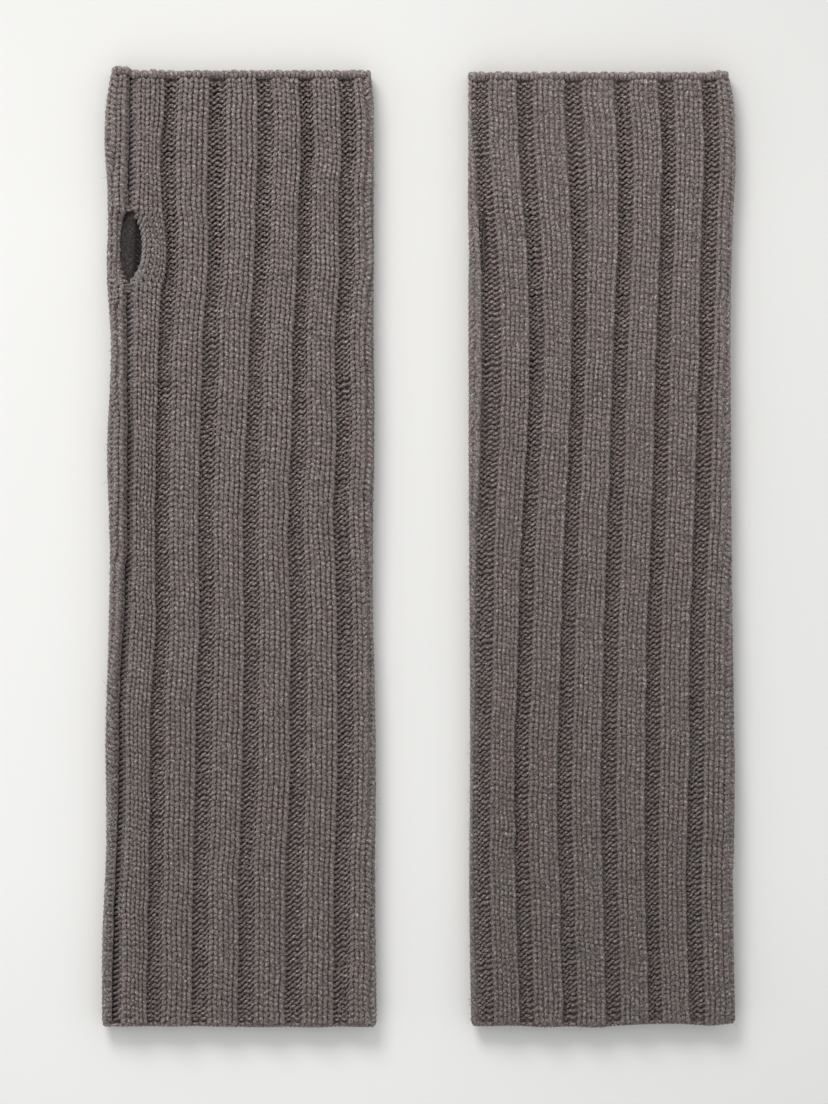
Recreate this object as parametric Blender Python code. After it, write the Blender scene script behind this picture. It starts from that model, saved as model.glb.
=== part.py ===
"""A pair of long fingerless gloves in rib knit, lying flat side by side.

Each glove is a flattened knitted tube, open at both ends, closed by one side seam with a
thumb slit left in it. Metres. +X to the right, +Y towards the finger end, +Z up. The origin is
on the table, midway between the gloves and midway along them.
"""

import math

import bmesh
import bpy
from mathutils import Vector

MM = 0.001
GAP = 0.3 * MM  # clearance between neighbouring pieces

# The pair
LENGTH = 380 * MM
CENTRE_SPACING = 142.8 * MM
HEM_WIDTH = 109 * MM
FOREARM_WIDTH = 105.5 * MM
WRIST_WIDTH = 105 * MM
THUMB_WIDTH = 106.5 * MM
FINGER_WIDTH = 105 * MM
MOUTH_WIDTH = 101.5 * MM

# The knitted wall: two layers with a flat slot between them
LAYER = 3.7 * MM
SLOT_HEIGHT = 4.6 * MM
THICKNESS = 2 * LAYER + SLOT_HEIGHT
SLOT_INSET = 4 * MM  # from the folded side edge at the finger end to the slot
SIDE_ROUND = 4 * MM
SIDE_STEPS = 8

# Ribs: flat-topped ridges with valleys between them, on both faces
RIB_PITCH = 17.6 * MM
VALLEY_DEPTH = 1.4 * MM
VALLEY_TOP = 8.4 * MM
VALLEY_FLOOR = 4.4 * MM
LEFT_FIRST_VALLEY = -26.5 * MM
LEFT_VALLEYS = 5
RIGHT_FIRST_VALLEY = -44 * MM
RIGHT_VALLEYS = 6

# Edges, folds and their hinge lines
EDGE_HEIGHT = 3.6 * MM
EDGE_THICKNESS = 10.2 * MM
WRIST_Y = 80 * MM
CUFF_Y = -120 * MM
HINGE_CLEARANCE = 0.9 * MM  # hinge lines lie this far above the upper face
HINGE_HEIGHT = THICKNESS + HINGE_CLEARANCE

# Side seam, thumb slit and the tacks at its ends
SEAM_X = -45 * MM
SEAM_WIDTH = 2.4 * MM
SEAM_HEIGHT = 1.8 * MM
SLIT_LOW = 104 * MM
SLIT_HIGH = 132.5 * MM
SLIT_WIDTH = 5.6 * MM
SLIT_STEPS = 6
TACK_LENGTH = 7 * MM
TACK_WIDTH = 2 * MM
TACK_HEIGHT = 1.2 * MM

TAUPE = (0.128, 0.106, 0.101)
DARK_TAUPE = (0.098, 0.082, 0.079)
PALE_TAUPE = (0.150, 0.126, 0.121)


def clear_scene():
    for obj in list(bpy.data.objects):
        bpy.data.objects.remove(obj, do_unlink=True)


def wool(name, colour):
    material = bpy.data.materials.new(name)
    material.use_nodes = True
    shader = material.node_tree.nodes["Principled BSDF"]
    shader.inputs["Base Color"].default_value = (*colour, 1)
    shader.inputs["Roughness"].default_value = 0.95
    shader.inputs["Metallic"].default_value = 0
    return material


def empty_at(name, place, parent=None):
    """An empty that marks a joint's axis, and carries the pieces that move with it."""
    empty = bpy.data.objects.new(name, None)
    empty.empty_display_size = 10 * MM
    bpy.context.scene.collection.objects.link(empty)
    put_under(empty, parent, Vector(place))
    return empty


def put_under(obj, parent, place):
    """Parents obj, keeping its origin at this place in the world."""
    obj.parent = parent
    obj.location = place - (origin_of(parent) if parent else Vector())


def origin_of(obj):
    return obj.location + (origin_of(obj.parent) if obj.parent else Vector())


def loft(name, outlines, origin):
    """A closed solid through equal outlines of points, with flat ends."""
    mesh = bpy.data.meshes.new(name)
    form = bmesh.new()
    rings = [[form.verts.new(Vector(p) - origin) for p in ring] for ring in outlines]
    count = len(rings[0])
    for low, high in zip(rings, rings[1:]):
        for i in range(count):
            j = (i + 1) % count
            form.faces.new((low[i], low[j], high[j], high[i]))
    form.faces.new(rings[0])
    form.faces.new(rings[-1])
    bmesh.ops.recalc_face_normals(form, faces=form.faces)
    form.to_mesh(mesh)
    form.free()
    obj = bpy.data.objects.new(name, mesh)
    bpy.context.scene.collection.objects.link(obj)
    return obj


def finish_piece(obj, parent, origin, material, cutters=()):
    """Cuts, colours and smooths a piece, and hangs it on the empty at its joint."""
    for cutter in cutters:
        cut = obj.modifiers.new("cut", "BOOLEAN")
        cut.operation = "DIFFERENCE"
        cut.solver = "EXACT"
        cut.object = cutter
    put_under(obj, parent, origin)
    obj.data.materials.append(material)
    obj.data.shade_smooth()
    obj.data.set_sharp_from_angle(angle=math.radians(40))
    return obj


def hide_cutter(cutter, parent, origin):
    cutter.hide_render = True
    cutter.display_type = "WIRE"
    put_under(cutter, parent, origin)
    return cutter


def width_at(y):
    """The flat width, following the taper from hem to finger end."""
    half = LENGTH / 2
    stations = (
        (-half, HEM_WIDTH),
        (CUFF_Y, FOREARM_WIDTH),
        (WRIST_Y, WRIST_WIDTH),
        ((SLIT_LOW + SLIT_HIGH) / 2, THUMB_WIDTH),
        (half - 2 * EDGE_HEIGHT, FINGER_WIDTH),
        (half, MOUTH_WIDTH),
    )
    for (y0, w0), (y1, w1) in zip(stations, stations[1:]):
        if y <= y1:
            return w0 + (w1 - w0) * (y - y0) / (y1 - y0)
    return MOUTH_WIDTH


def rounded_side(half_width, thickness, start):
    """Half an ellipse round one folded side, from its lower end to its upper end."""
    points = []
    for i in range(SIDE_STEPS + 1):
        angle = start + math.pi * i / SIDE_STEPS
        side = math.copysign(half_width - SIDE_ROUND, math.cos(start + math.pi / 2))
        x = side + SIDE_ROUND * math.cos(angle)
        points.append((x, thickness / 2 * math.sin(angle)))
    return points


def ribbed_outline(width, thickness, valleys):
    """The outline across the glove, as (x, z) about its middle, with valleys on both faces."""
    half = thickness / 2
    upper = []
    for centre in sorted(valleys, reverse=True):
        upper += [
            (centre + VALLEY_TOP / 2, half),
            (centre + VALLEY_FLOOR / 2, half - VALLEY_DEPTH),
            (centre - VALLEY_FLOOR / 2, half - VALLEY_DEPTH),
            (centre - VALLEY_TOP / 2, half),
        ]
    lower = [(x, -z) for x, z in reversed(upper)]
    right = rounded_side(width / 2, thickness, -math.pi / 2)
    left = rounded_side(width / 2, thickness, math.pi / 2)
    return right + upper + left + lower


def box_between(name, low, high, origin):
    """A plain box from one corner to the other."""
    (x0, y0, z0), (x1, y1, z1) = low, high
    corners = [(x0, z0), (x1, z0), (x1, z1), (x0, z1)]
    rings = [[(x, y, z) for x, z in corners] for y in (y0, y1)]
    return loft(name, rings, origin)


class Glove:
    """One glove: its place, the side its seam faces, and its forearm, hand and cuff groups."""

    def __init__(self, side, centre_x, first_valley, valley_count, seam_up):
        self.side = side
        self.x = centre_x
        self.valleys = [first_valley + RIB_PITCH * i for i in range(valley_count)]
        self.seam_up = seam_up
        self.forearm = empty_at(f"{side}_forearm_frame", (centre_x, 0, 0))
        self.hand = self.hinge("wrist", WRIST_Y)
        self.cuff = self.hinge("cuff", CUFF_Y)

    def hinge(self, label, y):
        place = (self.x, y, HINGE_HEIGHT)
        return empty_at(f"{self.side}_{label}_axis", place, self.forearm)

    def layer_span(self, depth, height):
        """Heights of something let into the seam's face: its inner and outer level."""
        outer = THICKNESS - depth
        inner = outer - height
        return (inner, outer) if self.seam_up else (THICKNESS - outer, THICKNESS - inner)

    def tube(self, label, group, y0, y1, cutters=(), thickness=THICKNESS, colour=TAUPE):
        """A length of the ribbed tube with the flat slot through it."""
        origin = origin_of(group)
        breaks = (CUFF_Y, WRIST_Y, (SLIT_LOW + SLIT_HIGH) / 2, LENGTH / 2 - 2 * EDGE_HEIGHT)
        rings = []
        for y in [y0, *[b for b in breaks if y0 < b < y1], y1]:
            scale = width_at(y) / WRIST_WIDTH
            valleys = [v * scale for v in self.valleys]
            outline = ribbed_outline(width_at(y), thickness, valleys)
            rings.append([(self.x + x, y, THICKNESS / 2 + z) for x, z in outline])
        piece = loft(f"{self.side}_{label}", rings, origin)
        slot = self.slot_cutter(label, group, y0, y1)
        material = wool(f"{self.side}_{label}_wool", colour)
        return finish_piece(piece, group, origin, material, [slot, *cutters])

    def slot_cutter(self, label, group, y0, y1):
        half = MOUTH_WIDTH / 2 - SLOT_INSET
        low = (self.x - half, y0 - 5 * MM, LAYER)
        high = (self.x + half, y1 + 5 * MM, LAYER + SLOT_HEIGHT)
        cutter = box_between(f"{self.side}_{label}_slot", low, high, origin_of(group))
        return hide_cutter(cutter, group, origin_of(group))

    def seam_channel(self, label, group, y0, y1):
        """The channel that the seam lies in, one gap wider and deeper than the seam."""
        inner, outer = self.layer_span(0, SEAM_HEIGHT + GAP)
        reach = SEAM_WIDTH / 2 + GAP
        if self.seam_up:
            outer += 5 * MM
        else:
            inner -= 5 * MM
        low = (self.x + SEAM_X - reach, y0, inner)
        high = (self.x + SEAM_X + reach, y1, outer)
        cutter = box_between(f"{self.side}_{label}_channel", low, high, origin_of(group))
        return hide_cutter(cutter, group, origin_of(group))

    def seam(self, label, group, y0, y1):
        inner, outer = self.layer_span(0, SEAM_HEIGHT)
        low = (self.x + SEAM_X - SEAM_WIDTH / 2, y0, inner)
        high = (self.x + SEAM_X + SEAM_WIDTH / 2, y1, outer)
        piece = box_between(f"{self.side}_{label}", low, high, origin_of(group))
        material = wool(f"{self.side}_{label}_wool", DARK_TAUPE)
        return finish_piece(piece, group, origin_of(group), material)

    def slit_cutter(self):
        """A lens-shaped prism through the seam's layer, from the slot outwards."""
        origin = origin_of(self.hand)
        middle = (SLIT_LOW + SLIT_HIGH) / 2
        half = (SLIT_HIGH - SLIT_LOW) / 2
        lens = []
        for i in range(2 * SLIT_STEPS):
            angle = math.pi * i / SLIT_STEPS
            across = SLIT_WIDTH / 2 * math.sin(angle) * abs(math.sin(angle))
            lens.append((self.x + SEAM_X + across, middle + half * math.cos(angle)))
        inner, outer = self.layer_span(-5 * MM, LAYER + 5 * MM + SLOT_HEIGHT / 2)
        rings = [[(x, y, z) for x, y in lens] for z in (inner, outer)]
        cutter = loft(f"{self.side}_thumb_slit", rings, origin)
        return hide_cutter(cutter, self.hand, origin)

    def tack(self, label, y):
        """A bar of oversewn yarn across one end of the slit, and the pocket it sits in."""
        origin = origin_of(self.hand)
        inner, outer = self.layer_span(0, TACK_HEIGHT)
        half = Vector((TACK_LENGTH / 2, TACK_WIDTH / 2))
        low = (self.x + SEAM_X - half.x, y - half.y, inner)
        high = (self.x + SEAM_X + half.x, y + half.y, outer)
        piece = box_between(f"{self.side}_{label}", low, high, origin)
        inner, outer = self.layer_span(-5 * MM, TACK_HEIGHT + GAP + 5 * MM)
        low = (low[0] - GAP, low[1] - GAP, inner)
        high = (high[0] + GAP, high[1] + GAP, outer)
        pocket = box_between(f"{self.side}_{label}_pocket", low, high, origin)
        material = wool(f"{self.side}_{label}_wool", DARK_TAUPE)
        finish_piece(piece, self.hand, origin, material)
        return hide_cutter(pocket, self.hand, origin)

    def build_forearm(self):
        y0, y1 = CUFF_Y + GAP, WRIST_Y - GAP
        channel = self.seam_channel("forearm", self.forearm, y0 - 5 * MM, y1 + 5 * MM)
        self.tube("forearm_tube", self.forearm, y0, y1, [channel])
        self.seam("forearm_seam", self.forearm, y0, y1)

    def build_cuff(self):
        hem_top = -LENGTH / 2 + EDGE_HEIGHT
        y0, y1 = hem_top + GAP, CUFF_Y - GAP
        channel = self.seam_channel("cuff", self.cuff, y0 - 5 * MM, y1 + 5 * MM)
        self.tube("cuff_tube", self.cuff, y0, y1, [channel])
        self.seam("cuff_seam", self.cuff, y0, y1)
        self.tube("hem_edge", self.cuff, -LENGTH / 2, hem_top, (), EDGE_THICKNESS, PALE_TAUPE)

    def build_hand(self):
        mouth_low = LENGTH / 2 - EDGE_HEIGHT
        y0, y1 = WRIST_Y + GAP, mouth_low - GAP
        tack_low = SLIT_LOW - TACK_WIDTH / 2 - GAP
        tack_high = SLIT_HIGH + TACK_WIDTH / 2 + GAP
        below_tack = tack_low - TACK_WIDTH / 2 - GAP
        above_tack = tack_high + TACK_WIDTH / 2 + GAP
        cutters = [
            self.seam_channel("hand_low", self.hand, y0 - 5 * MM, below_tack),
            self.seam_channel("hand_high", self.hand, above_tack, y1 + 5 * MM),
            self.tack("thumb_tack_lower", tack_low),
            self.tack("thumb_tack_upper", tack_high),
            self.slit_cutter(),
        ]
        self.tube("hand_tube", self.hand, y0, y1, cutters)
        self.seam("hand_seam_lower", self.hand, y0, below_tack - GAP)
        self.seam("hand_seam_upper", self.hand, above_tack + GAP, y1)
        self.tube("finger_edge", self.hand, mouth_low, LENGTH / 2, (), EDGE_THICKNESS, PALE_TAUPE)

    def build(self):
        self.build_forearm()
        self.build_cuff()
        self.build_hand()


clear_scene()
left = Glove("left", -CENTRE_SPACING / 2, LEFT_FIRST_VALLEY, LEFT_VALLEYS, seam_up=True)
right = Glove("right", CENTRE_SPACING / 2, RIGHT_FIRST_VALLEY, RIGHT_VALLEYS, seam_up=False)
left.build()
right.build()
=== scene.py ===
"""The looks of the fingerless gloves: every loop of the rib knit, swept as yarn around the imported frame.

Lengths inside the knit code are millimetres, and become metres when a mesh is made.
"""

import math

import bpy
import numpy as np
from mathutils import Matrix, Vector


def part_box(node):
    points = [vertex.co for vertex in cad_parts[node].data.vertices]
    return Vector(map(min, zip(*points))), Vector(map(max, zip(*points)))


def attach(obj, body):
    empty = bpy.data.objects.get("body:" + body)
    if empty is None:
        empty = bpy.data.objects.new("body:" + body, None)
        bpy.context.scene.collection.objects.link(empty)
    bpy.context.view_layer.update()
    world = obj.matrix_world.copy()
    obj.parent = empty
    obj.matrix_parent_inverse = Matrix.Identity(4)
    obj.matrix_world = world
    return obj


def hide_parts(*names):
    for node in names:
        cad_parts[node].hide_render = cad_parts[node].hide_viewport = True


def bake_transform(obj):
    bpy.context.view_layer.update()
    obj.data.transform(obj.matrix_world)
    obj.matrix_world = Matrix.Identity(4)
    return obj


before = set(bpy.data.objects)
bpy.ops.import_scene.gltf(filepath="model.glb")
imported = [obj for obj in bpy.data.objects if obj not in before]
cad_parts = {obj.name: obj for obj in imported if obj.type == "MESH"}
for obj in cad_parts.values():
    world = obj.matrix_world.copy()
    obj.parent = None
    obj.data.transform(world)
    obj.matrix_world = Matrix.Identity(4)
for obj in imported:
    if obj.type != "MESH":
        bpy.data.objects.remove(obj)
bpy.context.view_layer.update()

MM = 0.001
TAU = 2 * math.pi

# The rib: three knit wales, then two purl wales, open at the side seam
RIBS = 12
KNIT_WIDTH = 3.8
PURL_WIDTH = 3.15
STRIP_WIDTH = 2.5  # the linking stitches of the seam, to the right of its crease
CREASE_WIDTH = 1.2
COURSE = 2.13

# One stitch
KNIT_REACH = 1.85  # half a loop's height
PURL_REACH = 1.62
KNIT_BULGE = 0.2  # how far the head is wider than the neck, as a share of the wale
PURL_BULGE = 0.22
PURL_SLANT = (0.55, 0.3)  # how far a purl bump rises to the right, at the hem and at the fingers
LEAN = (1.25, 0.8)  # how strong the wales' lean is, at the hem and at the fingers
LOOP_DEPTH = 0.85  # how far legs stand in front of heads
FOLD_SQUEEZE = 0.85  # how much less they do so on the folded sides
ENDS = 0.35  # how far past the last wales the yarn runs, in wales
KNIT_BLOB = 0.5  # sharpens the front of each leg, so that it reads as a bead
PURL_BLOB = 0.2
PURL_DEEPER = 0.2  # how much more than in a knit stitch the legs and heads are apart in depth
YARN_RADIUS = 0.84
PURL_THINNING = 0.42
MOST_SQUEEZED = 0.65  # the yarn's share of its radius where the wales are crowded
SWELL = 0.1  # the yarn is fuller where it shows and squeezed where it crosses
STEPS = 12  # points per stitch
SIDES = 5  # of the yarn's section

# Unevenness: across the glove, along it and off it, stitch by stitch and over patches
STITCH_NOISE = (0.1, 0.13, 0.1)
PATCH_NOISE = (0.22, 0.3, 0.12)
RADIUS_NOISE = 0.05
PATCH = (3, 4)  # wales and courses

# The felted fuzz between the yarns, and stray fibres
KNIT_FELT = (0.6, 0.3)  # its height off the middle of the courses, at the hem and at the fingers
PURL_FELT = (-0.35, -0.7)
FOLD_FELT = 0.6  # how much lower it lies on the folded sides
FELT_THICK = 0.4
FELT_STEP = 5  # between its rows of points
FELT_PER_WALE = 3
FELT_MARGIN = 0.05  # a short last row keeps the shading at the ends true
FELT_ABOVE_HEM = 1.2
FELT_PAST_KNIT = 0.8
FELT_SHARE = 6  # its room in the baking layer, in rows of yarn
FIBRES = 9000  # on each glove
FIBRE_LENGTH = (1.2, 3.2)
FIBRE_RADIUS = 0.045
FIBRE_SIDES = 3
FIBRE_SPREAD = 0.9  # how far a fibre's end lies to its side, as a share of its length
FIBRE_ARCH = (0.45, 0.3)  # how steeply it stands up, and how much it bends back
FIBRE_CURL = 0.22
FIBRE_TAPER = (1, 1, 0.5)
TABLE_CLEAR = 0.1
FIBRE_ROOT = 0.8  # how far out of the yarn's middle a fibre starts, in radii
FIBRE_ASIDE = 0.7  # how far to a side of the top it starts, as a share of that

# Heights off the middle of the layer
RIB_TOP = 1.3
RIB_SHOULDER = 0.9
VALLEY = -1.4
VALLEY_TILT = 0.55  # on the shown face each valley is this much deeper at its left, shallower at its right
TUCK = 3.2  # how deep the cut ends dive at the seam
TUCK_FROM = 0.05  # where they start to, in wales inside the last one
END_CALM = 9  # near the hem and the fingers the courses lie level
HEM_WAVES = 16  # how far up the courses follow the hem's waves
RELIEF_STEP = 0.7  # how much of a wale a change of height takes
VALLEY_DEPTH = (0.7, 1.2)  # the share of their depth that valleys have, at the hem and at the fingers
HEM_SHALLOWER = (0.3, 6)  # they flatten near both ends: how much, and over what length
FINGERS_SHALLOWER = (0.6, 8)
FOLD_CALM = 0.6  # the share of all this which the folded sides take out, and the height they put there
FOLD_LEVEL = 0.9

# The tube
TUBE_LOW, TUBE_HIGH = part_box("left_forearm_tube")
THICKNESS = (TUBE_HIGH.z - TUBE_LOW.z) / MM
LAYER_HALF = RIB_TOP + LOOP_DEPTH * (1 + KNIT_BLOB) + YARN_RADIUS * (1 + SWELL)
FOLD_HIGH = THICKNESS / 2 - LAYER_HALF - 0.1
FOLD_WIDE = 1.4
FOLD_POINTS = 181
SIDE_OUT = 2.1  # from the middle of the layer to the outline at the folded sides
HEM = -190
FINGERS = 190
KNIT_LOW = HEM + 1.8
EDGE_HEIGHT = 3.4  # of the bound-off edge above the last course
CUFF_TOP = -108
WRIST = 66
BANDS = (-158, CUFF_TOP, -65, -21, 23, WRIST, 116, 151)  # where one mesh ends and the next begins

WRIST_BEND = (72, 114)
CUFF_BEND = (-112, -154)
SLIT = (105.6, 134.4)
LIP_LEFT = 1.4  # how far each lip stands off the seam's line
LIP_RIGHT = 5.1
LIP_ROLL = 4.6  # how far the left lip rolls down into the slit
LIP_WALES = 2.1  # how much of the left lip does so
SLIT_ROUNDNESS = 0.6  # 1 would end the slit in points, and less rounds it
SEAM_GAP = (1.7, 0.7)  # how much room the seam leaves on its right, at the hem and higher up
SEAM_GAP_RUN = 150  # how far up the first gives way to the second
SEAM_GAP_AT_SLIT = 0.3  # the share of it left along the slit
MOVED_RIGHT = 4.5  # how many wales share the room the right lip and the seam take
MOVED_LEFT = 4
SEAM_SIDE_END = 54  # no rib drifts past here on the side where the shown seam is

# The seam's coil of linking yarn
STRIP_MIDDLE = -0.5  # its place, counted in wales
COIL_STEPS = 12  # points per turn
COIL_SIDES = 6
COIL_RADIUS = 0.6
COIL_LIFT = 0.75  # how far its strands swing off the layer, and along the glove
COIL_SLANT = 0.4
COIL_MARGIN = 0.1
COIL_SUNK = -1.1  # how low it lies in the crease
COIL_DEEPER = 0.7  # how much lower, as a share of its widening
COIL_RISE = 1.4  # how much its right side is higher than that, and its left side lower
# Along the open slit the coil is the right lip's edge: narrower, moved to the right, higher, and fuller
LIP_COIL_NARROWER = 0.65
LIP_COIL_ASIDE = 0.2
LIP_COIL_HIGHER = 1.2
LIP_COIL_LEVEL = 1.0  # how much its two sides come together in height
LIP_COIL_SLANT = 0.5
LIP_COIL_FULLER = 0.15

# The bound-off edge: two strands for each wale, wound over a core
EDGE_MIDDLE = 1.75  # below the finger edge
EDGE_RELIEF = 0.6  # the share of the rib's relief it keeps
EDGE_STEPS = 14
EDGE_LIFT = 1.7  # how far the strands swing off the layer, and along the glove
EDGE_RISE = 1.0
EDGE_RADIUS = 0.82
EDGE_SIDES = 7
EDGE_UNEVEN = 0.06
EDGE_PAIR = 0.44  # how close the strands of a pair lie, and how much closer at the top
EDGE_CLOSER = 0.3
EDGE_CORE_RADIUS = 1.15
EDGE_CORE_SIDES = 8
EDGE_CORE_STEPS = 6  # for each strand

# The cast-on edge: two strands twisted together
HEM_MIDDLE = 0.85  # above the hem
HEM_RELIEF = 0.9
HEM_SUNK = 1.0
HEM_TWIST = 3.6  # length of one turn
HEM_SIZE = (0.55, 0.35)  # how far the strands swing off the layer and along the glove
HEM_RADIUS = 0.5
HEM_SIDES = 6
HEM_WANDER = 0.12
HEM_POINTS = 1200

# The stitches across the slit's ends
TACKS = (  # each one's name, lowest stitch, turns, half width and height off the layer
    ("lower", SLIT[0] - 3.8, 3, 2.2, 0.0),
    ("upper", SLIT[1] - 0.4, 2, 1.2, -0.7),
)
TACK_STEPS = 14
TACK_PITCH = 1.15
TACK_RADIUS = 0.62
TACK_MIDDLE = -0.3
TACK_SLANT = 0.25
TACK_UNEVEN = (0.15, 5)  # by how much, and how fast along the coil

# At the finger edge both sides draw in, and one rib stands proud
PULL_WIDTH = 9  # how much of each side draws in
PULL_RUN = (174, 16)  # where that starts, and over what length
POKE_RUN = (170, 18)
POKE_EASE = 0.6  # in wales

CREVICE_SHADE_DISTANCE = 7.0  # painted shade: the wool's colour is made darker where less than this much room is left round it

# The table: painted shade in its colour falls off to the right, and past both ends of the gloves, where the
# lamp's light falls off
FLOOR_HALF = 3.0  # metres, as are the places below
FLOOR_TINT = (1, 0.995, 0.976)
FLOOR_FALLOFF_SHADES = (0.84, 0.68)
FLOOR_RIGHT = (-0.04, 0.17, 0.5)  # from where, to where, and the share of the change it makes
FLOOR_ENDS = (0.13, 0.22, 0.25)

# The view from above
VIEW_MIDDLE = (-2.5, -1.4)
VIEW_HEIGHT = 438.3  # what the picture shows from its lower edge to its upper, at the gloves' own level
VIEW_LEVEL = 8
VIEW_DISTANCE = 3.0  # metres
SENSOR = 24


def smooth(t):
    t = np.clip(t, 0, 1)
    return t * t * (3 - 2 * t)


def curve_through(stations):
    """A smooth curve through (place, value) pairs, given in rising order of place."""
    places = np.array([p for p, _ in stations], float)
    values = np.array([v for _, v in stations], float)
    slopes = np.gradient(values, places)

    def value_at(at):
        at = np.clip(at, places[0], places[-1])
        i = np.clip(np.searchsorted(places, at) - 1, 0, len(places) - 2)
        span = places[i + 1] - places[i]
        t = (at - places[i]) / span
        a = (1 + 2 * t) * (1 - t) ** 2
        b = t * (1 - t) ** 2
        c = t * t * (3 - 2 * t)
        d = t * t * (t - 1)
        return a * values[i] + b * span * slopes[i] + c * values[i + 1] + d * span * slopes[i + 1]

    return value_at


def wale_table():
    """For each wale: its width, +1 for knit or -1 for purl, its height and its lean along the glove."""
    knit = [
        (KNIT_WIDTH, 1, RIB_SHOULDER, 0.9),
        (KNIT_WIDTH, 1, RIB_TOP, 0.35),
        (KNIT_WIDTH, 1, RIB_SHOULDER, -0.35),
    ]
    purl = [(PURL_WIDTH, -1, VALLEY, -0.9), (PURL_WIDTH, -1, VALLEY, 0)]
    return np.array((knit + purl) * (RIBS - 1) + knit)


WALES = wale_table()
WALE_COUNT = len(WALES)
PLACES = np.arange(-1, WALE_COUNT + 2)  # from the crease, past the strip and the wales, to the crease
STARTS = np.concatenate([[0], STRIP_WIDTH + np.cumsum([0, *WALES[:, 0]])])
STARTS = np.append(STARTS, STARTS[-1] + CREASE_WIDTH)
GIRTH = STARTS[-1]


def between_wales(values, u, step=1.0):
    """Values given at the wales' middles, eased between them, at the places u counted in wales."""
    i = np.floor(u - 0.5).astype(int)
    t = smooth((u - 1 - i) / step + 0.5)
    low, high = (np.clip(k, 0, WALE_COUNT - 1) for k in (i, i + 1))
    return values[..., low] * (1 - t) + values[..., high] * t


def fold_profile():
    """Half an ellipse from the top of the tube round to its underside: arc length, place and normal."""
    t = np.linspace(0, math.pi, FOLD_POINTS)
    x, z = FOLD_WIDE * np.sin(t), FOLD_HIGH * np.cos(t)
    arc = np.concatenate([[0], np.cumsum(np.hypot(np.diff(x), np.diff(z)))])
    nx, nz = x / FOLD_WIDE**2, z / FOLD_HIGH**2
    length = np.hypot(nx, nz)
    return arc, x, z, nx / length, nz / length


FOLD = fold_profile()
FOLD_LENGTH = FOLD[0][-1]


def face_sign(u):
    """+1 in knit wales and -1 in purl, turning over within a short step at each change."""
    nearest = np.round(u).astype(int)
    here, there = (WALES[np.clip(k, 0, WALE_COUNT - 1), 1] for k in (nearest - 1, nearest))
    t = smooth((u - nearest) / 0.5 + 0.5)
    return here * (1 - t) + there * t


def hem_to_fingers(ends, y):
    """A value that changes evenly along the glove, given at the hem and at the fingers."""
    at_hem, at_fingers = ends
    return at_hem + (at_fingers - at_hem) * (y - HEM) / (FINGERS - HEM)


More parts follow.
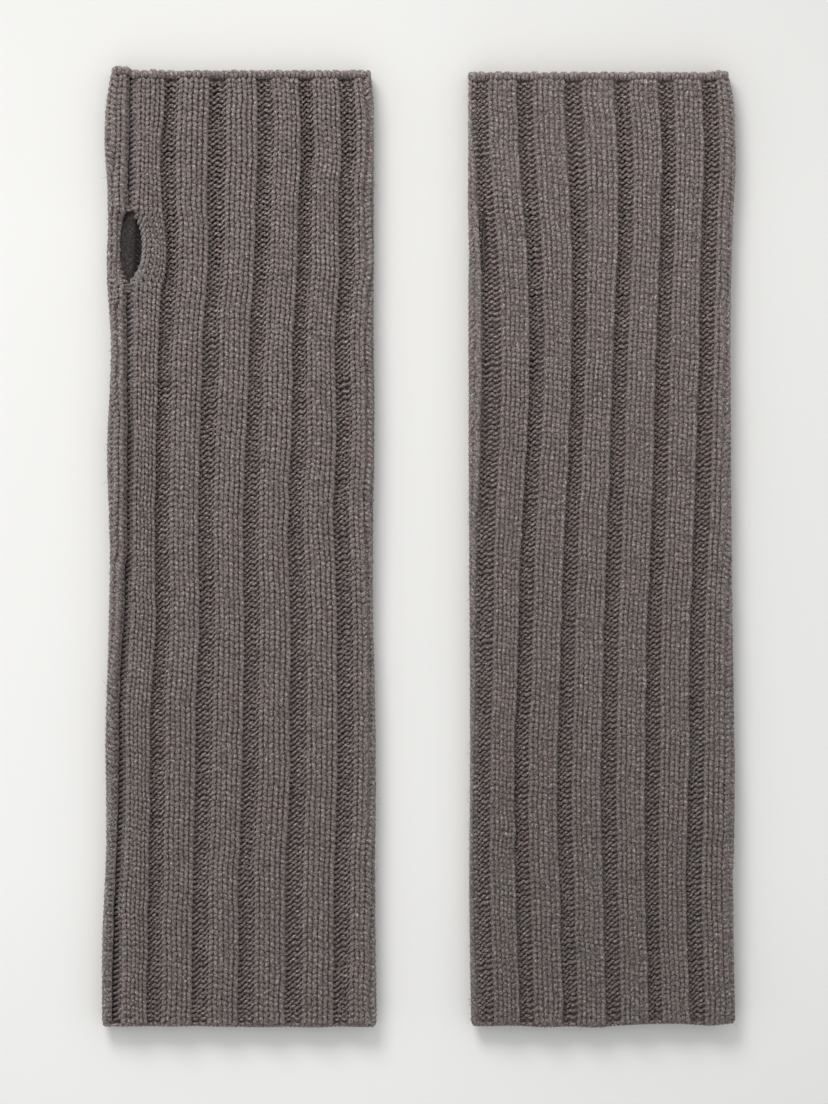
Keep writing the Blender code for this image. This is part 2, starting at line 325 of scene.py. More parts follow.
class Glove:
    """One glove's outline and the mapping from the knitted tube onto it."""

    def __init__(
        self, side, seam_up, fingers, left_edge, right_edge, hem, pulls, seam, drifts, corner,
        felt_thinning, seed,
    ):
        """The outline, the hem's waves, the seam and the ribs' drifts are (place, value) pairs, measured
        from the glove's middle. Each drift names its wale. pulls are how far each side draws in at the
        fingers, and corner is a rib that stands proud there: from, to and by how much."""
        self.side = side
        self.seam_up = seam_up
        low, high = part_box(f"{side}_forearm_tube")
        self.centre = (low.x + high.x) / 2 / MM
        self.middle = (low.z + high.z) / 2 / MM
        self.fingers = fingers
        self.knit_high = fingers - EDGE_HEIGHT
        self.pulls = pulls
        self.left_edge = curve_through(left_edge)
        self.right_edge = curve_through(right_edge)
        self.seam = curve_through(seam)
        self.hem = curve_through(hem)
        last = SEAM_SIDE_END if seam_up else WALE_COUNT
        self.drift_places = [-1, *(place for place, _ in drifts), last]
        self.drift_curves = [curve_through(stations) for _, stations in drifts]
        self.corner = corner
        self.felt_thinning = felt_thinning
        first_purl = np.arange(WALE_COUNT) % 5 == 3
        tilt = np.where(WALES[:, 1] < 0, np.where(first_purl, -1, 1), 0)
        self.heights = WALES[:, 2] + VALLEY_TILT * tilt * (1 if seam_up else -1)
        self.random = np.random.default_rng(seed)

    def slit_opening(self, y):
        middle, half = sum(SLIT) / 2, (SLIT[1] - SLIT[0]) / 2
        return np.clip(1 - ((y - middle) / half) ** 2, 0, 1) ** SLIT_ROUNDNESS

    def seam_gap(self, y):
        low, high = SEAM_GAP
        gap = high + (low - high) * (1 - smooth((y - HEM) / SEAM_GAP_RUN))
        return gap * (1 - (1 - SEAM_GAP_AT_SLIT) * self.slit_opening(y))

    def drift(self, u, y):
        """How far the ribs wander to the right: curves given at a few places, eased between them."""
        total = 0
        for k, curve in enumerate(self.drift_curves):
            before, here, after = self.drift_places[k : k + 3]
            rise = smooth((u - before) / (here - before))
            fall = smooth((u - here) / (after - here))
            total = total + curve(y) * rise * (1 - fall)
        return total

    def along_girth(self, u, y):
        """Arc length from the crease at the place u, counted in wales, with the drift and the slit."""
        s = np.interp(u, PLACES, STARTS) * self.girth(y) / GIRTH
        s = s + self.drift(u, y) * (1 if self.seam_up else -1)
        slit = self.slit_opening(y)
        s = s + (LIP_RIGHT * slit + self.seam_gap(y)) * (1 - smooth(u / MOVED_RIGHT))
        return s - LIP_LEFT * slit * smooth((u - WALE_COUNT + MOVED_LEFT) / MOVED_LEFT)

    def relief(self, u, y):
        """Height off the middle of the layer: ribs, the tucked ends at the seam and the slit's left lip."""
        tucked = smooth((TUCK_FROM - u) / ENDS) + smooth((u - WALE_COUNT + TUCK_FROM) / ENDS)
        turned = self.slit_opening(y) * smooth((u - WALE_COUNT + LIP_WALES) / LIP_WALES)
        height = between_wales(self.heights, u, RELIEF_STEP)
        depth = hem_to_fingers(VALLEY_DEPTH, y)
        for (less, run), distance in ((HEM_SHALLOWER, y - HEM), (FINGERS_SHALLOWER, self.knit_high - y)):
            depth = depth - less * (1 - smooth(distance / run))
        return np.where(height < 0, height * depth, height) - TUCK * tucked - LIP_ROLL * turned

    def poke(self, u, y):
        """The end of one rib stands a little past the finger edge."""
        start, end, amount = self.corner
        low, run = POKE_RUN
        inside = smooth((u - start) / POKE_EASE) * (1 - smooth((u - end) / POKE_EASE))
        return amount * inside * smooth((y - low) / run)

    def pulled(self, x, y):
        """The outline draws in at the finger edge: only the outermost part of each side follows it."""
        near_left = smooth((self.left_edge(y) + PULL_WIDTH - x) / PULL_WIDTH)
        near_right = smooth((x - self.right_edge(y) + PULL_WIDTH) / PULL_WIDTH)
        low, run = PULL_RUN
        return x + smooth((y - low) / run) * (self.pulls[0] * near_left - self.pulls[1] * near_right)

    def girth(self, y):
        return 2 * (self.straight(y) + FOLD_LENGTH)

    def straight(self, y):
        """Length of the flat stretch of each face."""
        return self.right_edge(y) - self.left_edge(y) - 2 * (FOLD_WIDE + SIDE_OUT)

    def place(self, s, y, relief, lift, along=0):
        """Points and outward normals at arc length s from the crease, at height y, lifted off the layer."""
        start = self.left_edge(y) + FOLD_WIDE + SIDE_OUT
        flat = self.straight(y)
        q = (s + self.seam(y) - start) % self.girth(y)
        back = q >= flat + FOLD_LENGTH
        q = np.where(back, q - flat - FOLD_LENGTH, q)
        arc, fold_x, fold_z, fold_nx, fold_nz = FOLD
        x, z, nx, nz = (np.interp(q - flat, arc, values) for values in (fold_x, fold_z, fold_nx, fold_nz))
        x = x + np.minimum(q, flat)
        x = self.pulled(np.where(back, start + flat - x, start + x), y)
        along = along + self.hem(x) * (1 - smooth((y - HEM) / HEM_WAVES))
        turned = np.where(back, -1, 1)
        nx, nz, z = nx * turned, nz * turned, z * turned
        calm = FOLD_CALM * nx * nx
        out = lift * (1 - FOLD_SQUEEZE * nx * nx) + relief * (1 - calm) + FOLD_LEVEL * calm
        face = 1 if self.seam_up else -1
        points = [self.centre + x + nx * out, y + along + 0 * x, self.middle + face * (z + nz * out)]
        return np.stack(points, -1), np.stack([nx, 0 * nx, face * nz], -1)

    def patches(self, rows, u):
        """A soft random field over the courses and the places u, about 1 in size."""
        coarse = self.random.normal(size=(rows // PATCH[1] + 2, WALE_COUNT // PATCH[0] + 2))
        row = np.arange(rows)[:, None] / PATCH[1]
        column = np.clip(u, 0, WALE_COUNT - 1)[None, :] / PATCH[0]
        i, j = np.floor(row).astype(int), np.floor(column).astype(int)
        a, b = smooth(row - i), smooth(column - j)
        near = coarse[i, j] * (1 - b) + coarse[i, j + 1] * b
        far = coarse[i + 1, j] * (1 - b) + coarse[i + 1, j + 1] * b
        return near * (1 - a) + far * a

    def unevenness(self, rows, u, stitch, patch=0):
        noise = np.clip(self.random.normal(size=(rows, WALE_COUNT)), -2, 2)
        return stitch * between_wales(noise, u) + patch * self.patches(rows, u)

    def courses(self, ys, u):
        """Yarn centre points of the courses at heights ys, at the places u, with normals and radii."""
        y = ys[:, None]
        wale = np.clip(np.floor(u).astype(int), 0, WALE_COUNT - 1)
        t = TAU * (u - wale) - math.pi
        sign = face_sign(u)
        purl = (1 - sign) / 2
        swing = WALES[wale, 0] * (KNIT_BULGE + (PURL_BULGE - KNIT_BULGE) * purl) * np.sin(2 * t)
        blob = KNIT_BLOB + (PURL_BLOB - KNIT_BLOB) * purl
        front = -sign * np.cos(2 * t) * (1 + PURL_DEEPER * purl) + blob * np.cos(4 * t)
        level = smooth((y - KNIT_LOW) / END_CALM) * smooth((self.knit_high - y) / END_CALM)
        reach = KNIT_REACH + (PURL_REACH - KNIT_REACH) * purl
        slant = level * hem_to_fingers(PURL_SLANT, y)
        lean = level * hem_to_fingers(LEAN, y)
        facing = 1 if self.seam_up else -1
        across, up, off = (self.unevenness(len(ys), u, *sizes) for sizes in zip(STITCH_NOISE, PATCH_NOISE))
        s = self.along_girth(u[None, :], y)
        room = np.clip(np.gradient(s, axis=1) / np.gradient(np.interp(u, PLACES, STARTS)), MOST_SQUEEZED, 1)
        s = s + swing * room + across
        rise = slant * purl * np.sin(2 * t) + lean * between_wales(WALES[:, 3], u)
        along = -reach * np.cos(t) + facing * rise + self.poke(u, y) + up * level
        points, normals = self.place(s, y, self.relief(u, y), LOOP_DEPTH * front + off, along)
        fullness = 1 + SWELL * front - PURL_THINNING * purl + self.unevenness(len(ys), u, RADIUS_NOISE)
        return points, normals, YARN_RADIUS * fullness * room


def sweep(points, normals, radius, sides, closed=False):
    """Vertices of tubes round rows of points. Shape: row, point, side, xyz."""
    if closed:
        tangent = np.roll(points, -1, 1) - np.roll(points, 1, 1)
    else:
        tangent = np.gradient(points, axis=1)
    tangent /= np.linalg.norm(tangent, axis=-1, keepdims=True)
    across = np.cross(tangent, normals)
    across /= np.linalg.norm(across, axis=-1, keepdims=True)
    up = np.cross(across, tangent)
    angle = TAU * np.arange(sides) / sides
    ring = across[:, :, None] * np.cos(angle)[:, None] + up[:, :, None] * np.sin(angle)[:, None]
    return points[:, :, None] + ring * np.broadcast_to(radius, points.shape[:2])[:, :, None, None]


class YarnMesh:
    """Collects tubes, and makes them one mesh with a yarn UV layer and a layer for baking."""

    CAP_SIZE = 0.002  # the ends of tubes share one spot of the layer for baking
    CAP_SPOT = 0.01

    def __init__(self):
        self.vertices, self.corners, self.sizes, self.yarn_uv, self.rows = [], [], [], [], []
        self.count = 0

    def add(self, rings, closed=False, block=None, around=None):
        """Tubes given as rings of points. Those with a block share one, of so many rows, in the layer for
        baking. Those with the values around, of where each ring point faces, are sheets: there and back."""
        rows, steps, sides = rings.shape[:3]
        index = self.count + np.arange(rows * steps * sides).reshape(rows, steps, sides)
        spans = steps if closed else steps - 1
        i = np.arange(spans)
        i_next = (i + 1) % steps
        j = np.arange(sides)
        j_next = (j + 1) % sides
        a = index[:, i][:, :, j]
        b = index[:, i_next][:, :, j]
        c = index[:, i_next][:, :, j_next]
        d = index[:, i][:, :, j_next]
        quads = np.stack([a, b, c, d], -1)
        middle = rings.mean(2)
        step = np.linalg.norm(np.diff(middle, axis=1), axis=-1)
        run = np.concatenate([np.zeros((rows, 1)), np.cumsum(step, 1)], 1)
        if closed:
            last = np.linalg.norm(middle[:, 0] - middle[:, -1], axis=-1)
            run = np.concatenate([run, run[:, -1:] + last[:, None]], 1)
        shape = (rows, spans, sides)
        u0 = np.broadcast_to(run[:, :spans, None], shape)
        u1 = np.broadcast_to(run[:, 1 : spans + 1, None], shape)
        faces = np.linspace(0, 1, sides + 1) if around is None else around
        v0 = np.broadcast_to(faces[:-1], shape)
        v1 = np.broadcast_to(faces[1:], shape)
        uv = np.stack([np.stack(p, -1) for p in ((u0, v0), (u1, v0), (u1, v1), (u0, v1))], 3)
        shares = run / run[:, -1:]
        first = sum(self.rows)
        row = np.arange(rows)[:, None, None] * (block is None)
        t0, t1 = (np.broadcast_to(first + row + (block or 1) * k / sides, shape) for k in (j, j + 1))
        s0 = np.broadcast_to(shares[:, :spans, None], shape)
        s1 = np.broadcast_to(shares[:, 1 : spans + 1, None], shape)
        atlas = np.stack([np.stack(p, -1) for p in ((s0, t0), (s1, t0), (s1, t1), (s0, t1))], 3)
        self.vertices.append(rings.reshape(-1, 3))
        self.corners.append(quads.reshape(-1))
        self.sizes.append(np.full(quads.size // 4, 4))
        self.yarn_uv.append(np.concatenate([uv.reshape(-1, 2), atlas.reshape(-1, 2)], 1))
        self.rows.append(block or rows)
        if not closed:
            cap = self.cap if around is None else self.cap_sheet
            cap(index[:, 0])
            cap(index[:, -1][:, ::-1])
        self.count += rows * steps * sides

    def cap(self, rings):
        rows, sides = rings.shape
        angle = TAU * np.arange(sides) / sides
        flat = np.stack([np.cos(angle), np.sin(angle)], -1) * self.CAP_SIZE
        spot = np.broadcast_to(flat, (rows, sides, 2))
        self.corners.append(rings.reshape(-1))
        self.sizes.append(np.full(rows, sides))
        self.yarn_uv.append(np.concatenate([spot, spot + self.CAP_SPOT], -1).reshape(-1, 4))

    def cap_sheet(self, rings):
        """Closes the end of a sheet with a row of quads between its two faces."""
        i = np.arange(rings.shape[1] // 2 - 1)
        quads = np.stack([rings[:, k] for k in (i, i + 1, -2 - i, -1 - i)], -1)
        self.corners.append(quads.reshape(-1))
        self.sizes.append(np.full(quads.size // 4, 4))
        self.yarn_uv.append(np.tile([0, 0, self.CAP_SPOT, self.CAP_SPOT], (quads.size, 1)))

    def build(self, name, material):
        mesh = bpy.data.meshes.new(name)
        vertices = np.concatenate(self.vertices) * MM
        corners = np.concatenate(self.corners)
        sizes = np.concatenate(self.sizes)
        mesh.vertices.add(len(vertices))
        mesh.vertices.foreach_set("co", vertices.astype(np.float32).ravel())
        mesh.loops.add(len(corners))
        mesh.loops.foreach_set("vertex_index", corners.astype(np.int32))
        mesh.polygons.add(len(sizes))
        starts = np.concatenate([[0], np.cumsum(sizes)[:-1]])
        mesh.polygons.foreach_set("loop_start", starts.astype(np.int32))
        mesh.update(calc_edges=True)
        uv = np.concatenate(self.yarn_uv)
        yarn = mesh.uv_layers.new(name="Yarn")
        yarn.data.foreach_set("uv", uv[:, :2].astype(np.float32).ravel())
        atlas = uv[:, 2:] / [1, sum(self.rows)]
        mesh.uv_layers.new(name="OFBake").data.foreach_set("uv", atlas.astype(np.float32).ravel())
        mesh.shade_smooth()
        mesh.materials.append(material)
        obj = bpy.data.objects.new(name, mesh)
        bpy.context.scene.collection.objects.link(obj)
        return obj


def knit(glove, material):
    """The rib fabric, in bands short enough to bend: pairs of the band's heights and its mesh."""
    count = round((glove.knit_high - KNIT_LOW) / COURSE)
    ys = KNIT_LOW + (np.arange(count) + 0.5) * (glove.knit_high - KNIT_LOW) / count
    u = np.arange(-ENDS * STEPS, (WALE_COUNT + ENDS) * STEPS) / STEPS
    points, normals, radius = glove.courses(ys, u)
    tubes = sweep(points, normals, radius, SIDES)
    fibres, fibre_ys = stray_fibres(glove, points, normals)
    edges = (HEM, *BANDS, FINGERS)
    for k, (low, high) in enumerate(zip(edges, edges[1:])):
        yarn = YarnMesh()
        yarn.add(tubes[(ys >= low) & (ys < high)])
        yarn.add(fibres[(fibre_ys >= low) & (fibre_ys < high)], block=1)
        felt_high = min(high, glove.knit_high + FELT_PAST_KNIT)
        felt, around = felt_under(glove, max(low, HEM + FELT_ABOVE_HEM), felt_high)
        yarn.add(felt, block=FELT_SHARE, around=around)
        yield low, high, yarn.build(f"{glove.side}_knit_band_{k + 1}", material)


def felt_under(glove, low, high):
    """The fuzz that fills the gaps between the yarns, as one thin sheet under their tops."""
    y = np.linspace(low + FELT_MARGIN, high - FELT_MARGIN, round((high - low) / FELT_STEP) + 1)
    y = np.array([low, *y, high])[:, None]
    u = np.linspace(-ENDS, WALE_COUNT + ENDS, FELT_PER_WALE * WALE_COUNT)
    purl = (1 - face_sign(u)) / 2
    knit_lift, purl_lift, thinning = (
        hem_to_fingers(ends, y) for ends in (KNIT_FELT, PURL_FELT, glove.felt_thinning)
    )
    lift = knit_lift * (1 - purl) + purl_lift * purl - thinning
    s, relief = glove.along_girth(u[None, :], y), glove.relief(u[None, :], y)
    relief = relief - FOLD_FELT * glove.place(s, y, relief, 0)[1][..., 0] ** 2
    outer, inner = (glove.place(s, y, relief, lift - depth)[0] for depth in (0, FELT_THICK))
    facing_out, facing_in = np.full(len(u), 0.25), np.full(len(u), 0.75)
    there, back = (inner, facing_in), (outer, facing_out)
    if not glove.seam_up:
        there, back = back, there
    rings = np.concatenate([there[0], back[0][:, ::-1]], 1)
    around = np.concatenate([there[1], back[1]])
    return rings[None], np.append(around, around[0])


def stray_fibres(glove, points, normals):
    """Short curved hairs that stand out of the yarn at random places, and the heights they start from."""
    random = glove.random
    row = random.integers(0, points.shape[0], FIBRES)
    step = random.integers(STEPS, points.shape[1] - STEPS, FIBRES)
    root, up = points[row, step], normals[row, step]
    wild = random.normal(size=(2, FIBRES, 3))
    length = random.uniform(*FIBRE_LENGTH, FIBRES)[:, None]
    side = wild[0] - up * np.sum(wild[0] * up, -1, keepdims=True)
    side /= np.linalg.norm(side, axis=-1, keepdims=True)
    root = root + YARN_RADIUS * FIBRE_ROOT * (up + FIBRE_ASIDE * side)
    t = np.linspace(0, 1, len(FIBRE_TAPER))[:, None, None]
    steepness, bend = FIBRE_ARCH
    arch = steepness * t - bend * t * t
    curl = FIBRE_CURL * t * t
    path = root + length * (t * side * FIBRE_SPREAD + arch * up + curl * wild[1])
    path = np.moveaxis(path, 0, 1)
    path[..., 2] = np.maximum(path[..., 2], TABLE_CLEAR)
    radius = FIBRE_RADIUS * np.array(FIBRE_TAPER)
    return sweep(path, np.broadcast_to(up[:, None], path.shape), radius[None], FIBRE_SIDES), root[:, 1]


def forward(points):
    """The glove's length as each point's direction, for yarn that runs across it."""
    return np.broadcast_to([0.0, 1.0, 0.0], points.shape)


def seam_strip(glove, name, material, low, high):
    """Linking stitches along the seam: a coil whose shown strands rise to the right out of the crease."""
    turn = np.arange(math.ceil(low / COURSE * COIL_STEPS), high / COURSE * COIL_STEPS) / COIL_STEPS
    y = turn * COURSE
    angle = TAU * turn
    side = -np.cos(angle)
    opening = glove.slit_opening(y)
    widening = glove.seam_gap(y) / 2
    half_width = (STRIP_WIDTH / 2 - COIL_MARGIN) * (1 - LIP_COIL_NARROWER * opening) + widening
    s = glove.along_girth(STRIP_MIDDLE + LIP_COIL_ASIDE * opening, y) - widening + half_width * side
    relief = COIL_SUNK - COIL_DEEPER * widening + COIL_RISE * side
    relief = relief + opening * (LIP_COIL_HIGHER - LIP_COIL_LEVEL * side)
    facing = 1 if glove.seam_up else -1
    slant = (COIL_SLANT + LIP_COIL_SLANT * opening) * side * facing
    along = slant + glove.poke(np.array([STRIP_MIDDLE]), y)
    points, normals = glove.place(s, y, relief, COIL_LIFT * np.sin(angle), along)
    radius = COIL_RADIUS + LIP_COIL_FULLER * opening
    yarn = YarnMesh()
    yarn.add(sweep(points[None], forward(points)[None], radius[None], COIL_SIDES))
    return yarn.build(name, material)


def finger_edge(glove, name, material):
    """The bound-off edge: a rounded bump for each wale, of two strands each laid over the rim."""
    turns = 2 * (WALE_COUNT + 1)
    k = np.repeat(np.arange(turns), EDGE_STEPS)
    angle = TAU * np.tile(np.arange(EDGE_STEPS) / EDGE_STEPS, turns) - math.pi / 2
    height = glove.fingers - EDGE_MIDDLE

    def strand_place(k):
        return (k // 2 + 0.5 + (k % 2 - 0.5) * EDGE_PAIR) * 2 / turns

    moved = smooth((angle - math.pi / 2) / math.pi)
    share = strand_place(k) * (1 - moved) + strand_place(k + 1) * moved
    share = share - (k % 2 - 0.5) * EDGE_CLOSER / turns * np.maximum(0, np.sin(angle)) ** 2
    strand_size = glove.random.normal(size=turns // 2) * EDGE_UNEVEN
    size = 1 + np.repeat(np.repeat(strand_size, 2), EDGE_STEPS)

    def on_the_rim(u, lift, rise):
        y = np.full(len(u), height)
        relief = EDGE_RELIEF * glove.relief(np.clip(u, 0.5, WALE_COUNT - 0.5), y)
        return glove.place(glove.along_girth(u, y), y, relief, lift, rise + glove.poke(u, y))

    yarn = YarnMesh()
    u = np.interp(share * GIRTH, STARTS, PLACES)
    points, normals = on_the_rim(u, EDGE_LIFT * np.cos(angle) * size, EDGE_RISE * np.sin(angle) * size)
    sideways = np.cross(normals, [0, 1, 0])
    yarn.add(sweep(points[None], sideways[None], EDGE_RADIUS * size[None], EDGE_SIDES, True), True)
    u = np.linspace(-1, WALE_COUNT + 1, EDGE_CORE_STEPS * turns, endpoint=False)
    points, normals = on_the_rim(u, 0, 0)
    yarn.add(sweep(points[None], normals[None], EDGE_CORE_RADIUS, EDGE_CORE_SIDES, True), True)
    return yarn.build(name, material)


def hem_edge(glove, name, material):
    """The cast-on edge: two strands twisted round each other along the hem."""
    yarn = YarnMesh()
    u = np.linspace(-1, WALE_COUNT + 1, HEM_POINTS, endpoint=False)
    y = np.full(HEM_POINTS, HEM + HEM_MIDDLE)
    s = glove.along_girth(u, y)
    wander = HEM_WANDER * glove.patches(1, u)[0]
    relief = HEM_RELIEF * glove.relief(np.clip(u, 0, WALE_COUNT), y) - HEM_SUNK
    off, along = HEM_SIZE
    for phase in (0, math.pi):
        angle = TAU * s / HEM_TWIST + phase
        points, normals = glove.place(s, y, relief, off * np.cos(angle), along * np.sin(angle) + wander)
        yarn.add(sweep(points[None], forward(points)[None], HEM_RADIUS, HEM_SIDES, True), True)
    return yarn.build(name, material)


def tack(glove, name, material, low, turns, half_width, relief):
    """Stitches across the end of the slit: a flat coil of level strands."""
    turn = np.arange(turns * TACK_STEPS + 1) / TACK_STEPS
    y = low + turn * TACK_PITCH
    angle = TAU * turn
    amount, pace = TACK_UNEVEN
    s = -half_width * np.cos(angle) * (1 + amount * np.sin(turn * pace)) + TACK_MIDDLE
    points, normals = glove.place(s, y, relief, COIL_LIFT * np.sin(angle), TACK_SLANT * np.cos(angle))
    yarn = YarnMesh()
    yarn.add(sweep(points[None], forward(points)[None], TACK_RADIUS, COIL_SIDES))
    return yarn.build(name, material)


def wool(name, colour, pale, inside=1.0, at_hem=0.84, at_fingers=1.03):
    """Fuzzy mottled yarn: flecks, pale specks that are partly pale fibres and partly painted glints of
    light, patches of warmer and cooler grey and a soft sheen. Painted shade darkens its colour in crevices,
    on the side of the yarn that faces into the glove, and towards the hem, and lightens it a little at the
    fingers. pale is how far the flecks are off the colour, and inside is how bright the painted shade
    leaves the hidden side."""
    material = bpy.data.materials.new(name)
    material.use_nodes = True
    nodes, links = material.node_tree.nodes, material.node_tree.links
    shader = nodes["Principled BSDF"]
    shader.inputs["Roughness"].default_value = 0.95
    shader.inputs["Specular IOR Level"].default_value = 0.2
    shader.inputs["Sheen Weight"].default_value = 0.3
    shader.inputs["Sheen Roughness"].default_value = 0.5

    def noise(vector, scale, detail, roughness=0.5):
        node = nodes.new("ShaderNodeTexNoise")
        node.inputs["Scale"].default_value = scale
        node.inputs["Detail"].default_value = detail
        node.inputs["Roughness"].default_value = roughness
        links.new(vector, node.inputs["Vector"])
        return node.outputs["Fac"]

    def ramp(fac, low, high, places=(0.32, 0.68)):
        node = nodes.new("ShaderNodeValToRGB")
        for element, place, shade in zip(node.color_ramp.elements, places, (low, high)):
            element.position = place
            element.color = (*shade, 1)
        links.new(fac, node.inputs["Fac"])
        return node.outputs["Color"]

    def spread(value, low, high, to_low):
        node = nodes.new("ShaderNodeMapRange")
        node.inputs["From Min"].default_value = low
        node.inputs["From Max"].default_value = high
        node.inputs["To Min"].default_value = to_low
        links.new(value, node.inputs["Value"])
        return node.outputs["Result"]

    def math_node(operation, value, other=0.0):
        node = nodes.new("ShaderNodeMath")
        node.operation = operation
        node.inputs[1].default_value = other
        links.new(value, node.inputs[0])
        return node.outputs["Value"]

    def times(a, b):
        node = nodes.new("ShaderNodeMix")
        node.data_type = "RGBA"
        node.blend_type = "MULTIPLY"
        node.inputs["Factor"].default_value = 1
        links.new(a, node.inputs["A"])
        links.new(b, node.inputs["B"])
        return node.outputs["Result"]

    def axis(vector, which):
        node = nodes.new("ShaderNodeSeparateXYZ")
        links.new(vector, node.inputs["Vector"])
        return node.outputs[which]

    yarn = nodes.new("ShaderNodeUVMap")
    yarn.uv_map = "Yarn"
    stretch = nodes.new("ShaderNodeMapping")
    stretch.inputs["Scale"].default_value = (0.8, 9, 1)
    links.new(yarn.outputs["UV"], stretch.inputs["Vector"])
    place = nodes.new("ShaderNodeTexCoord").outputs["Object"]
    flecks = noise(place, 1100, 2, 0.6)
    dark_fleck = [c * tint * (1 - pale) for c, tint in zip(colour, (1.04, 0.99, 0.985))]
    pale_fleck = [c * tint * (1 + pale) for c, tint in zip(colour, (0.97, 1.01, 1.005))]
    base = ramp(flecks, dark_fleck, pale_fleck, (0.38, 0.62))
    # Pale specks: partly pale fibres, partly painted glints of light
    specks = ramp(noise(place, 1500, 1), (1, 1, 1), (1.88, 2.06, 2.04), (0.57, 0.69))
    hue = ramp(noise(place, 170, 2), (1.03, 0.985, 0.99), (0.98, 1.01, 1.0))
    tone = ramp(noise(place, 420, 3), (0.86, 0.86, 0.86), (1.14, 1.14, 1.14))
    # Painted shade: an ambient occlusion node darkens the colour where little room is left round the wool,
    # between the yarns, in the valleys and in the slit
    room = nodes.new("ShaderNodeAmbientOcclusion")
    room.samples = 4
    room.inputs["Distance"].default_value = CREVICE_SHADE_DISTANCE * MM
    crevice_shade = ramp(room.outputs["AO"], (0.72, 0.54, 0.5), (1, 1, 1), (0, 0.65))
    # Painted shade on the side of each yarn that faces into the glove: inside is the share of its
    # brightness left there
    facing = math_node("SINE", math_node("MULTIPLY", axis(yarn.outputs["UV"], "Y"), TAU))
    inner = spread(facing, -0.8, -0.1, inside)
    # Painted shade: the colour falls from at_fingers at the fingers to at_hem at the hem, as the light
    # falls off towards the hem
    painted_falloff = nodes.new("ShaderNodeMapRange")
    painted_falloff.inputs["From Min"].default_value = HEM * MM
    painted_falloff.inputs["From Max"].default_value = FINGERS * MM
    painted_falloff.inputs["To Min"].default_value = at_hem
    painted_falloff.inputs["To Max"].default_value = at_fingers
    links.new(axis(place, "Y"), painted_falloff.inputs["Value"])
    colour_out = base
    for layer in (specks, hue, tone, crevice_shade, inner, painted_falloff.outputs["Result"]):
        colour_out = times(colour_out, layer)
    links.new(colour_out, shader.inputs["Base Color"])
    bump = nodes.new("ShaderNodeBump")
    bump.inputs["Strength"].default_value = 0.7
    bump.inputs["Distance"].default_value = 0.2 * MM
    links.new(noise(stretch.outputs["Vector"], 1.6, 4, 0.65), bump.inputs["Height"])
    links.new(bump.outputs["Normal"], shader.inputs["Normal"])
    return material


RIB_COLOUR = (0.198, 0.1635, 0.156)
# Both gloves' wool gets painted shade towards the hem, deeper on the right glove
RIB_WOOL = {
    "left": wool("left_rib_wool", RIB_COLOUR, 0.5, 0.17),
    "right": wool("right_rib_wool", RIB_COLOUR, 0.5, 0.17, at_hem=0.74),
}
SEAM_WOOL = wool("seam_wool", (0.14, 0.116, 0.111), 0.4)
LIP_WOOL = wool("lip_wool", (0.19, 0.174, 0.175), 0.4)
EDGE_WOOL = wool("edge_wool", (0.2, 0.164, 0.157), 0.45)


def carry(obj, side, y_low, y_high):
    """Puts a piece on the body at its height, or, where it crosses a fold, applies its placement and leaves
    it on no body.
    """
    if y_high <= CUFF_BEND[1]:
        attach(obj, f"{side}_cuff")
    elif y_low < CUFF_BEND[0]:
        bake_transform(obj)
    elif y_high <= WRIST_BEND[0]:
        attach(obj, f"{side}_forearm")
    elif y_low < WRIST_BEND[1]:
        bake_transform(obj)
    else:
        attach(obj, f"{side}_hand")


def tube_under(side, y):
    return f"{side}_{'cuff' if y < CUFF_TOP else 'forearm' if y < WRIST else 'hand'}_tube"


def build_glove(glove):
    side = glove.side
    for low, high, band in knit(glove, RIB_WOOL[side]):
        carry(band, side, low, high)
        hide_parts(tube_under(side, low))
    seams = (
        ("cuff_seam", KNIT_LOW, CUFF_TOP, SEAM_WOOL),
        ("forearm_seam", CUFF_TOP, WRIST, SEAM_WOOL),
        ("hand_seam_lower", WRIST, SLIT[0], LIP_WOOL),
        ("slit_lip", *SLIT, LIP_WOOL),
        ("hand_seam_upper", SLIT[1], glove.knit_high, LIP_WOOL),
    )
    for part, low, high, material in seams:
        strip = seam_strip(glove, f"{side}_{part}_yarn", material, low, high)
        carry(strip, side, low, high)
        if part != "slit_lip":
            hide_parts(f"{side}_{part}")
    for part, low, turns, half_width, relief in TACKS:
        bars = tack(glove, f"{side}_thumb_tack_{part}_yarn", SEAM_WOOL, low, turns, half_width, relief)
        carry(bars, side, low, low + turns)
        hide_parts(f"{side}_thumb_tack_{part}")
    for part, make, y in (("finger_edge", finger_edge, FINGERS), ("hem_edge", hem_edge, HEM)):
        edge = make(glove, f"{side}_{part}_yarn", EDGE_WOOL)
        carry(edge, side, y, y)
        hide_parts(f"{side}_{part}")


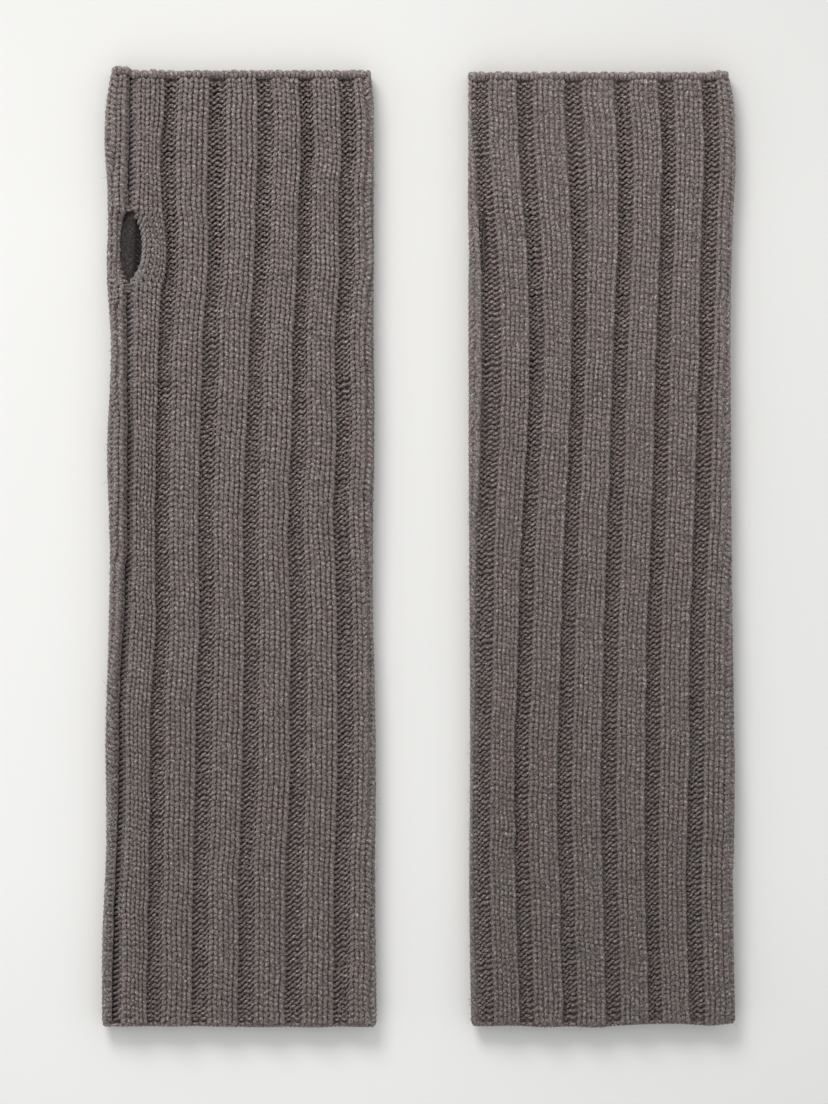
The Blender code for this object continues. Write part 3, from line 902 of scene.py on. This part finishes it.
left = Glove(
    "left", True, FINGERS,
    left_edge=((-190, -55.4), (-155, -55.2), (-120, -53.7), (-100, -53.6), (-75, -53.9), (-60, -53.5),
               (0, -52.1), (35, -53.2), (85, -51.7), (114, -53.6), (130, -53.1), (142, -53), (160, -54.2),
               (178, -53.6), (190, -53)),
    right_edge=((-190, 54.4), (-139, 53.9), (-68, 53.8), (-20, 52.8), (43, 53.4), (98, 53.1),
                (146, 53.1), (190, 53.0)),
    hem=((-55, 0), (-20, 0.1), (20, -0.1), (55, 0)),
    pulls=(1.9, 1.1),
    seam=((-190, -51.3), (-140, -50.3), (-100, -48.7), (-60, -48.3), (-20, -46), (60, -45.1), (100, -45.3),
          (150, -44.4), (190, -44)),
    drifts=(
        (4, ((-190, -1.2), (-138, -1.2), (-74, -2.0), (-42, -1.4), (21, -3.3), (85, -1.5), (120, 0.2),
             (150, -1.7), (190, -0.1))),
        (14, ((-190, -1.1), (-122, -1.2), (-42, -0.8), (21, -3.1), (85, 0), (120, 1), (150, 1.4),
              (190, 0.6))),
        (24, ((-190, -0.3), (-106, 0.8), (-10, -0.5), (21, -2.9), (53, -1.7), (120, -1.2), (190, -2.2))),
    ),
    corner=(55.2, WALE_COUNT + 2, 1.4),
    felt_thinning=(0.3, 0.3),
    seed=11,
)
right = Glove(
    "right", False, FINGERS - 0.7,
    left_edge=((-190, -51.6), (-139, -52.4), (-76, -52.1), (0, -52.4), (98, -52.5), (130, -52.7),
               (190, -52.9)),
    right_edge=((-190, 54.1), (-139, 53.7), (-92, 54.1), (-28, 52.9), (19, 52.4), (98, 52.1),
                (130, 52.9), (154, 54.0), (178, 53.4), (190, 53.2)),
    hem=((-54, 0.6), (-50, 0.2), (-35, 0.35), (-23, -0.2), (-9, -0.1), (-2, -0.4), (8, 0.5), (20, 0.95),
         (32, 1.15), (38, 0.65), (44, 0.4), (48, 0.8), (54, 1.6)),
    pulls=(0.2, 2.4),
    seam=((-190, -45), (190, -45)),
    drifts=(
        (29, ((-190, -8), (-106, -8.4), (-42, -7), (21, -3.6), (85, -1.7), (120, -1.2), (190, -1.2))),
        (39, ((-190, -6.1), (-138, -5.8), (-90, -7.4), (-42, -5.9), (21, -2.9), (85, -0.7), (120, 0.7),
              (190, -0.6))),
        (49, ((-190, -5.1), (-138, -5.2), (-90, -6.7), (-42, -4.8), (21, -1.9), (53, 0), (120, 0),
              (160, -3.3), (190, -3.8))),
        (53, ((-190, -3.3), (-138, -3.4), (-90, -4.2), (-42, -2.8), (21, -0.9), (53, 0.9), (120, 0.1),
              (160, -3.2), (190, -3.6))),
        (55, ((-190, -3.1), (-138, -3.1), (-90, -3.7), (-42, -2.9), (21, -1.8), (53, -0.8), (120, -0.9),
              (160, -2.4), (190, -3.3))),
    ),
    corner=(24.6, 28.4, 0.4),
    felt_thinning=(0.05, -0.25),
    seed=12,
)
for glove in (left, right):
    build_glove(glove)


def floor():
    mesh = bpy.data.meshes.new("floor")
    half = FLOOR_HALF
    corners = [(-half, -half, 0), (half, -half, 0), (half, half, 0), (-half, half, 0)]
    mesh.from_pydata(corners, [], [(0, 1, 2, 3)])
    obj = bpy.data.objects.new("floor", mesh)
    bpy.context.scene.collection.objects.link(obj)
    material = bpy.data.materials.new("pale_floor")
    material.use_nodes = True
    nodes, links = material.node_tree.nodes, material.node_tree.links
    shader = nodes["Principled BSDF"]
    shader.inputs["Roughness"].default_value = 0.9
    place = nodes.new("ShaderNodeSeparateXYZ")
    links.new(nodes.new("ShaderNodeTexCoord").outputs["Object"], place.inputs["Vector"])
    # Painted shade: the floor's colour darkens to the right and past both ends of the gloves, standing in
    # for the lamp's fall-off
    painted_falloff = nodes.new("ShaderNodeValToRGB")
    for element, shade in zip(painted_falloff.color_ramp.elements, FLOOR_FALLOFF_SHADES):
        element.color = (*(tint * shade for tint in FLOOR_TINT), 1)
    either_end = nodes.new("ShaderNodeMath")
    either_end.operation = "ABSOLUTE"
    links.new(place.outputs["Y"], either_end.inputs[0])
    total = nodes.new("ShaderNodeMath")
    for value, (start, end, amount), into in (
        (place.outputs["X"], FLOOR_RIGHT, total.inputs[0]),
        (either_end.outputs["Value"], FLOOR_ENDS, total.inputs[1]),
    ):
        spread = nodes.new("ShaderNodeMapRange")
        for name, setting in (("From Min", start), ("From Max", end), ("To Max", amount)):
            spread.inputs[name].default_value = setting
        links.new(value, spread.inputs["Value"])
        links.new(spread.outputs["Result"], into)
    links.new(total.outputs["Value"], painted_falloff.inputs["Fac"])
    links.new(painted_falloff.outputs["Color"], shader.inputs["Base Color"])
    mesh.materials.append(material)


def light_and_camera():
    world = bpy.data.worlds.new("studio")
    bpy.context.scene.world = world
    world.use_nodes = True
    background = world.node_tree.nodes["Background"]
    background.inputs["Color"].default_value = (0.98, 0.988, 1, 1)
    background.inputs["Strength"].default_value = 0.76
    lamp = bpy.data.lights.new("key", "AREA")
    lamp.shape = "DISK"
    lamp.size = 1.45
    lamp.energy = 50
    lamp.color = (1, 0.985, 0.95)
    key = bpy.data.objects.new("key", lamp)
    key.location = (-0.9, 2.15, 1.95)
    key.rotation_euler = (-key.location).to_track_quat("-Z", "Y").to_euler()
    bpy.context.scene.collection.objects.link(key)
    camera_data = bpy.data.cameras.new("camera")
    camera = bpy.data.objects.new("camera", camera_data)
    camera.location = (VIEW_MIDDLE[0] * MM, VIEW_MIDDLE[1] * MM, VIEW_DISTANCE)
    camera_data.sensor_fit = "VERTICAL"
    camera_data.sensor_height = SENSOR
    camera_data.lens = SENSOR * (VIEW_DISTANCE - VIEW_LEVEL * MM) / (VIEW_HEIGHT * MM)
    bpy.context.scene.collection.objects.link(camera)
    bpy.context.scene.camera = camera
    bpy.context.scene.view_settings.view_transform = "Standard"


floor()
light_and_camera()
